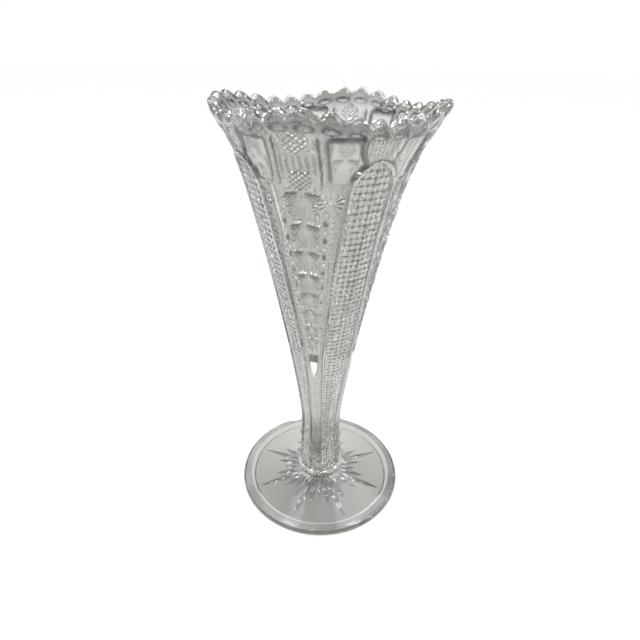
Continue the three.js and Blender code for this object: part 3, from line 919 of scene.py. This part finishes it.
# Foot, from the star in its recess over the rest ring and the edge to the wafer
FOOT_LOWER_ROUND = 0.0034
FOOT_UPPER_ROUND = 0.0022
FOOT_SIDE_HEIGHT = FOOT_LOWER_ROUND + FOOT_UPPER_ROUND
FOOT_RIM_BAND = 0.0028
FOOT_BAND = FOOT_RADIUS - FOOT_UPPER_ROUND - FOOT_RIM_BAND
FOOT_BAND_STEP = 0.00007
FOOT_TOP_SHARES = (0.02, 0.04, 0.06, 0.12, 0.25, 0.4, 0.55, 0.7, 0.85, 0.95)
FOOT_RECESS = 0.0008
REST_RING_WIDTH = 0.003
REST_RING_INNER = FOOT_RADIUS - FOOT_LOWER_ROUND - REST_RING_WIDTH
RECESS_RADIUS = REST_RING_INNER - FOOT_RECESS
CENTRE_RINGS = (0.003, 0.006, 0.008, 0.0095, 0.0105, 0.0115)
STAR_RING_START = 0.0127
STAR_RING_STEP = 0.0012
STAR_RING_MARGIN = 0.0004
RECESS_WALL_MIDDLE = 0.45 * FOOT_RECESS
UPPER_SHADES_FROM = 0.85 * FOOT_LOWER_ROUND
LOWER_ROUND_RINGS = 9
UPPER_ROUND_RINGS = 8

# Star. In each sector the columns follow the edges of its ray, given as shares of half the sector.
RAY_TIPS = (0.0365, 0.0255, 0.0205, 0.0255)
RAYS = 8 * len(RAY_TIPS)
RAY_SECTOR = 2 * math.pi / RAYS
STAR_TURN = math.radians(22.5)
RAY_START = 0.010
RAY_WIDTH = 0.0056
RAY_DEPTH = 0.0012
RAY_TAPER = 0.6
RAY_FADE = 0.006
EDGE_EVEN = 0.4
EDGE_NARROWEST = 0.12
EDGE_WIDEST = 0.94

# Painted shade and light of the foot
FOOT_SHADE = 0.60
RAY_SHADE = 0.36
RAY_SHADE_SPAN = (0, 0.0003)
RAY_SPOT_LIGHT = 2.2
RAY_SPOT_DRAW = 0.92
RAY_SPOT_CUT = 0.0002
CENTRE_LIGHT = 0.9
CENTRE_LIGHT_SPAN = (0.009, 0.014)
# Painted shade, heavier towards the front of the foot
FRONT_SHADE = 0.22
RECESS_WALL_SHADE = -0.9
UNDER_EDGE_SHADES = (0.0004, 0.0014, 0.32, RECESS_WALL_SHADE)
FOOT_EDGE_SHADE = 0.64
FOOT_EDGE_SPAN = (FOOT_BAND - 0.0002, FOOT_BAND + 0.0006)
FOOT_RIM_LIGHT = 0.8
FOOT_RIM_SPAN = (FOOT_RADIUS - 0.0007, FOOT_RADIUS - 0.0002)
BAND_LINE = (FOOT_BAND - 0.0004, 0.0004)
BAND_LINE_LIGHT = 0.32
RIM_SPOT_LIGHT = 2.0
RIM_SPOT_DRAW = 0.97
RIM_SPOT_SPAN = (FOOT_RADIUS - 0.0018, FOOT_RADIUS - 0.0010)
FOOT_SPECKLE = (0.6, 1.8)
FOOT_SPECKLE_SPAN = (0.0125, 0.017)


def foot_ring(radius, z, starred):
    """One ring of the foot. A starred ring is cut by the rays."""
    turns, heights = [], []
    half = RAY_SECTOR / 2
    for i in range(RAYS):
        tip = RAY_TIPS[i % len(RAY_TIPS)]
        left = max(0, tip - radius) / (tip - RAY_START)
        depth = RAY_DEPTH * min(1, left) ** RAY_TAPER if starred else 0
        edge = EDGE_EVEN * half
        if starred and radius > tip:
            edge = half * mix(EDGE_NARROWEST, EDGE_EVEN, min(1, (radius - tip) / RAY_FADE))
        elif starred:
            width = RAY_WIDTH * left ** RAY_TAPER / radius
            edge = min(max(width / 2, EDGE_NARROWEST * half), EDGE_WIDEST * half)
        marks = [edge / 2, edge, mix(edge, half, 1 / 3), mix(edge, half, 2 / 3)]
        for offset in [-m for m in reversed(marks)] + [0] + marks + [half]:
            turns.append(STAR_TURN + i * RAY_SECTOR + offset)
            heights.append(z + depth * max(0, 1 - abs(offset) / edge))
    turn = np.array(turns)
    return np.stack([radius * np.sin(turn), -radius * np.cos(turn), np.array(heights)], -1)


def star_shades(ring, draws):
    """Painted shades of a ring of the recess: painted shade on the rays, more where deeper and
    towards the front, and painted light near the centre and in bright spots.
    """
    cut = ring[:, 2] - FOOT_RECESS
    radius = math.hypot(ring[0, 0], ring[0, 1])
    shade = FOOT_SHADE + RAY_SHADE * ramp(cut, *RAY_SHADE_SPAN) - FRONT_SHADE * ring[:, 1] / radius
    light = CENTRE_LIGHT * (1 - ramp(radius, *CENTRE_LIGHT_SPAN))
    spots = (draws > RAY_SPOT_DRAW) * (cut > RAY_SPOT_CUT)
    return list(shade - light - RAY_SPOT_LIGHT * spots)


def upper_foot_shades(ring, radius, count):
    """Painted shades of a ring above the foot's lower rounding: painted shade on the edge band,
    heavier on one side, painted light in a line and in spots, and painted light and shade in
    speckles near the wafer. The count of rings picks the draws.
    """
    turn = np.arctan2(ring[:, 0], -ring[:, 1])
    # The painted edge shade is heavier on one side, in waves around the foot
    uneven_painted_shading = 1 + 0.2 * np.sin(turn + 0.3) + 0.12 * np.sin(5 * turn + 1) + 0.1 * np.sin(11 * turn)
    edge = FOOT_EDGE_SHADE * ramp(radius, *FOOT_EDGE_SPAN)
    edge = edge * (1 - FOOT_RIM_LIGHT * ramp(radius, *FOOT_RIM_SPAN))
    draws = DRAWS[count % 7, :len(turn) // SPECKLE_COLUMNS].repeat(SPECKLE_COLUMNS)
    speckle = (1 - ramp(radius, *FOOT_SPECKLE_SPAN)) * (FOOT_SPECKLE[0] - FOOT_SPECKLE[1] * draws)
    spots = DRAWS[5 * count % DRAWS.shape[0], :len(turn)] > RIM_SPOT_DRAW
    light = BAND_LINE_LIGHT * stripe(radius, *BAND_LINE)
    light = light + RIM_SPOT_LIGHT * spots * ramp(radius, *RIM_SPOT_SPAN)
    return list(edge * uneven_painted_shading + speckle - light)


def foot():
    rings, shades = [], []
    plain = np.arange(STAR_RING_START, RECESS_RADIUS - STAR_RING_MARGIN, STAR_RING_STEP)
    for radius in sorted([*CENTRE_RINGS, *plain, *set(RAY_TIPS), RECESS_RADIUS]):
        ring = foot_ring(radius, FOOT_RECESS, True)
        ring[:, 2] = mix(FOOT_RECESS, ring[:, 2], min(1, radius / RAY_START))
        rings.append(ring)
        shades += star_shades(ring, DRAWS[len(rings), :len(ring)])
    low, high = FOOT_LOWER_ROUND, FOOT_UPPER_ROUND
    profile = [((RECESS_RADIUS + REST_RING_INNER) / 2, RECESS_WALL_MIDDLE), (REST_RING_INNER, 0)]
    for turn in np.radians(np.linspace(-90, 0, LOWER_ROUND_RINGS)):
        profile.append((FOOT_RADIUS - low + low * math.cos(turn), low + low * math.sin(turn)))
    for turn in np.radians(np.linspace(0, 90, UPPER_ROUND_RINGS))[1:]:
        profile.append((FOOT_RADIUS - high + high * math.cos(turn), low + high * math.sin(turn)))
    profile.append((mix(FOOT_RADIUS - high, FOOT_BAND, 0.7), FOOT_SIDE_HEIGHT))
    profile.append((FOOT_BAND, FOOT_SIDE_HEIGHT + FOOT_BAND_STEP))
    for share in FOOT_TOP_SHARES:
        z = mix(FOOT_SIDE_HEIGHT, FOOT_TOP, share)
        profile.append((mix(FOOT_BAND, WAFER_RADIUS, share), z))
    profile += [(WAFER_RADIUS, FOOT_TOP), (STEM_BASE_RADIUS, FOOT_TOP)]
    for radius, z in profile:
        ring = foot_ring(radius, z, False)
        rings.append(ring)
        if z > UPPER_SHADES_FROM:
            shades += upper_foot_shades(ring, radius, len(rings))
        elif radius < REST_RING_INNER:
            shades += [RECESS_WALL_SHADE] * len(ring)
        else:
            shades += [change(z, *UNDER_EDGE_SHADES)] * len(ring)
    return shade_points(skin("foot_glass", rings, (0, 0, FOOT_RECESS), (0, 0, FOOT_TOP)), shades)


# Materials
def add_node(tree, kind, inputs, data_type=None):
    """Adds a node. Each input is given a value, or another node's output to be linked to."""
    node = tree.nodes.new(kind)
    if data_type:
        node.data_type = data_type
    for name, value in inputs.items():
        if isinstance(value, bpy.types.NodeSocket):
            tree.links.new(value, node.inputs[name])
        else:
            node.inputs[name].default_value = value
    return node


def add_mix(tree, share, first, second):
    """Mixes two colours."""
    inputs = {"Factor": share, "A": first, "B": second}
    return add_node(tree, "ShaderNodeMix", inputs, data_type="RGBA").outputs["Result"]


def add_math(tree, operation, first, second, clamp=False):
    node = add_node(tree, "ShaderNodeMath", {0: first, 1: second})
    node.operation = operation
    node.use_clamp = clamp
    return node.outputs[0]


def add_noise(tree, scale, detail):
    place = add_node(tree, "ShaderNodeTexCoord", {}).outputs["Object"]
    inputs = {"Vector": place, "Scale": scale, "Detail": detail}
    return add_node(tree, "ShaderNodeTexNoise", inputs).outputs["Fac"]


def add_range(tree, value, from_max=1.0, to_min=0.0, to_max=1.0):
    """Maps 0..from_max to to_min..to_max."""
    inputs = {"Value": value, "From Max": from_max, "To Min": to_min, "To Max": to_max}
    return add_node(tree, "ShaderNodeMapRange", inputs).outputs["Result"]


def grey(level):
    return (level, level, level, 1)


def empty_tree(owner):
    owner.use_nodes = True
    owner.node_tree.nodes.clear()
    return owner.node_tree


TINT = (0.79, 0.79, 0.764)
TINT_CLOUDS = 0.96
CLOUD_SCALE = 45
# Painted shade darkens the tint towards black by at most this much, and painted light brings it up
# to white
PIT_DARKNESS = 0.9
GLASS_IOR = 1.5
GLASS_ROUGHNESS = (0.045, 0.099)
GLASS_DEPTH_COLOUR = (0.5, 0.5, 0.48, 1)
GLASS_DEPTH_DENSITY = 15
RIPPLE_SCALE = 130
RIPPLE_HEIGHT = 0.00004
GLINT_SCALE = 900
GLINT_GREYS = (0.86, 0.98)
GLINT_ROUGHNESS = (0.25, 0.5)
BLACK, WHITE = grey(0), grey(1)


def glass_material():
    """Clear glass whose colour carries the mesh's painted shade and painted light, with faint
    clouds and ripples.
    """
    material = bpy.data.materials.new("pressed_glass")
    tree = empty_tree(material)
    cloud = add_noise(tree, CLOUD_SCALE, 3)
    colour = add_mix(tree, cloud, (*[c * TINT_CLOUDS for c in TINT], 1), (*TINT, 1))
    attribute = add_node(tree, "ShaderNodeAttribute", {})
    attribute.attribute_name = "shade"
    shade = attribute.outputs["Fac"]
    colour = add_mix(tree, add_range(tree, shade, to_max=PIT_DARKNESS), colour, BLACK)
    colour = add_mix(tree, add_range(tree, shade, from_max=-1.0), colour, WHITE)
    height = add_noise(tree, RIPPLE_SCALE, 2)
    ripple = {"Height": height, "Strength": 1.0, "Distance": RIPPLE_HEIGHT}
    shader = add_node(tree, "ShaderNodeBsdfPrincipled", {
        "Base Color": colour,
        "Roughness": add_range(tree, cloud, 1.0, *GLASS_ROUGHNESS),
        "IOR": GLASS_IOR,
        "Normal": add_node(tree, "ShaderNodeBump", ripple).outputs["Normal"],
        "Transmission Weight": 1.0,
    })
    depth = {"Color": GLASS_DEPTH_COLOUR, "Density": GLASS_DEPTH_DENSITY}
    add_node(tree, "ShaderNodeOutputMaterial", {
        "Surface": shader.outputs["BSDF"],
        "Volume": add_node(tree, "ShaderNodeVolumeAbsorption", depth).outputs["Volume"],
    })
    return material


def glint_material():
    material = bpy.data.materials.new("bright_facet")
    tree = empty_tree(material)
    cloud = add_noise(tree, GLINT_SCALE, 2)
    shader = add_node(tree, "ShaderNodeBsdfPrincipled", {
        "Base Color": add_mix(tree, cloud, *map(grey, GLINT_GREYS)),
        "Metallic": 1.0,
        "Roughness": add_range(tree, cloud, 1.0, *GLINT_ROUGHNESS),
    })
    add_node(tree, "ShaderNodeOutputMaterial", {"Surface": shader.outputs["BSDF"]})
    return material


glass = glass_material()
glint = glint_material()


def dress(obj, node, sharp=None):
    """Gives a piece its materials and body, and hides the model's part named node. Edges sharper
    than the angle stay sharp.
    """
    obj.data.materials.append(glass)
    obj.data.materials.append(glint)
    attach(obj, "root")
    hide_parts(node)
    if sharp is not None:
        obj.data.set_sharp_from_angle(angle=math.radians(sharp))


dress(trumpet(), "trumpet_body", sharp=22)
dress(wafer(), "stem_wafer")
dress(foot(), "foot", sharp=38)


# Floor and world: white behind the vase, a darker ceiling in the glass, plain light on the floor
FLOOR_RADIUS = 6.0
FLOOR_SIDES = 64
FLOOR_DROP = 0.00002
FLOOR_GREY = 0.35
FLOOR_GLOW = 0.73
PLAIN_LIGHT = 0.75
CEILING = ((0.0, 1), (0.05, 1), (0.09, 0.42), (0.3, 0.2), (0.8, 0.16), (1.0, 0.16))


def seen_share(tree, camera):
    """Light path outputs, and 1 for rays that show the background in glass, or for the camera's own
    if they count, else 0. A ray that has left a matt surface is light, not a view."""
    path = add_node(tree, "ShaderNodeLightPath", {}).outputs
    seen = add_math(tree, "ADD", path["Is Glossy Ray"], path["Is Transmission Ray"])
    if camera:
        seen = add_math(tree, "ADD", seen, path["Is Camera Ray"])
    return path, add_math(tree, "SUBTRACT", seen, path["Diffuse Depth"], clamp=True)


def floor_material():
    material = bpy.data.materials.new("pale_floor")
    tree = empty_tree(material)
    strength = add_math(tree, "MULTIPLY", seen_share(tree, camera=True)[1], FLOOR_GLOW)
    glow = add_node(tree, "ShaderNodeEmission", {"Color": WHITE, "Strength": strength})
    paint = add_node(tree, "ShaderNodeBsdfDiffuse", {"Color": grey(FLOOR_GREY)})
    both = {0: paint.outputs["BSDF"], 1: glow.outputs["Emission"]}
    shader = add_node(tree, "ShaderNodeAddShader", both).outputs["Shader"]
    add_node(tree, "ShaderNodeOutputMaterial", {"Surface": shader})
    return material


def floor():
    turn = 2 * np.pi * np.arange(FLOOR_SIDES) / FLOOR_SIDES
    points = [(FLOOR_RADIUS * math.cos(t), FLOOR_RADIUS * math.sin(t), 0) for t in turn]
    mesh = bpy.data.meshes.new("floor")
    mesh.from_pydata(points, [], [tuple(range(FLOOR_SIDES))])
    disc = bpy.data.objects.new("floor", mesh)
    bpy.context.scene.collection.objects.link(disc)
    disc.data.materials.append(floor_material())
    disc.location.z = -FLOOR_DROP


def add_background(tree, colour, strength):
    inputs = {"Color": colour, "Strength": strength}
    return add_node(tree, "ShaderNodeBackground", inputs).outputs["Background"]


def world():
    sky = bpy.data.worlds.new("studio")
    bpy.context.scene.world = sky
    tree = empty_tree(sky)
    place = add_node(tree, "ShaderNodeTexCoord", {}).outputs["Generated"]
    up = add_node(tree, "ShaderNodeSeparateXYZ", {"Vector": place}).outputs["Z"]
    height = add_node(tree, "ShaderNodeValToRGB", {"Fac": up})
    stops = height.color_ramp.elements
    stops.remove(stops[1])
    for position, level in CEILING[1:]:
        stops.new(position).color = grey(level)
    stops[0].color = grey(CEILING[0][1])
    path, in_glass = seen_share(tree, camera=False)
    plain = add_background(tree, WHITE, PLAIN_LIGHT)
    room = add_background(tree, height.outputs["Color"], 1.0)
    light = add_node(tree, "ShaderNodeMixShader", {"Fac": in_glass, 1: plain, 2: room})
    white = add_background(tree, WHITE, 1.0)
    both = {"Fac": path["Is Camera Ray"], 1: light.outputs["Shader"], 2: white}
    shader = add_node(tree, "ShaderNodeMixShader", both).outputs["Shader"]
    add_node(tree, "ShaderNodeOutputWorld", {"Surface": shader})


floor()
world()

# Lamps: number, first azimuth and step, elevation, distance, diameter, radiance, lit floor
LAMP_TARGET = Vector((0, 0, 0.12))
LAMPS = {
    "softbox": (3, 50, 120, 60, 1.1, 0.55, 2.3, True),
    "low_spot": (6, 8, 60, 18, 1.3, 0.07, 600, False),
    "high_spot": (8, 99, 23, 70, 1.3, 0.045, 1800, False),
}


def lamp(name, azimuth, elevation, distance, size, radiance, on_floor):
    """Round lamp that looks at the vase. Its power follows from the radiance of its disc."""
    data = bpy.data.lights.new(name, "AREA")
    data.shape = "DISK"
    data.size = size
    data.energy = radiance * math.pi * math.pi * (size / 2) ** 2
    lamp_object = bpy.data.objects.new(name, data)
    a, e = math.radians(azimuth), math.radians(elevation)
    away = Vector((math.sin(a) * math.cos(e), -math.cos(a) * math.cos(e), math.sin(e)))
    lamp_object.location = LAMP_TARGET + away * distance
    lamp_object.rotation_euler = away.to_track_quat("Z", "Y").to_euler()
    lamp_object.visible_diffuse = on_floor
    bpy.context.scene.collection.objects.link(lamp_object)


for lamp_name, (count, first, step, *rest) in LAMPS.items():
    for i in range(count):
        lamp(f"{lamp_name}_{i}", first + step * i, *rest)

# Camera
CAMERA_PLACE = Vector((0, -1.005 * RIM_HEIGHT, 1.092 * RIM_HEIGHT))
CAMERA_PITCH = math.radians(29.85)
CAMERA_ROLL = math.radians(1.02)
CAMERA_YAW = math.radians(-0.42)
SENSOR = 36.0
FOCAL_PIXELS = 481.2
IMAGE_PIXELS = 640

forward = Vector((
    math.sin(CAMERA_YAW) * math.cos(CAMERA_PITCH),
    math.cos(CAMERA_YAW) * math.cos(CAMERA_PITCH),
    -math.sin(CAMERA_PITCH),
))
level = Vector((math.cos(CAMERA_YAW), -math.sin(CAMERA_YAW), 0))
upright = level.cross(forward)
right = level * math.cos(CAMERA_ROLL) + upright * math.sin(CAMERA_ROLL)
up = upright * math.cos(CAMERA_ROLL) - level * math.sin(CAMERA_ROLL)
camera_data = bpy.data.cameras.new("camera")
camera_data.sensor_width = SENSOR
camera_data.lens = SENSOR * FOCAL_PIXELS / IMAGE_PIXELS
camera_data.clip_start = 0.01
camera = bpy.data.objects.new("camera", camera_data)
rotation = Matrix((right, up, -forward)).transposed().to_4x4()
camera.matrix_world = Matrix.Translation(CAMERA_PLACE) @ rotation
bpy.context.scene.collection.objects.link(camera)
bpy.context.scene.camera = camera

scene = bpy.context.scene
scene.view_settings.view_transform = "Standard"
scene.cycles.max_bounces = 24
scene.cycles.transmission_bounces = 24
scene.cycles.glossy_bounces = 12
scene.cycles.transparent_max_bounces = 24
scene.cycles.sample_clamp_indirect = 8
scene.cycles.use_denoising = True
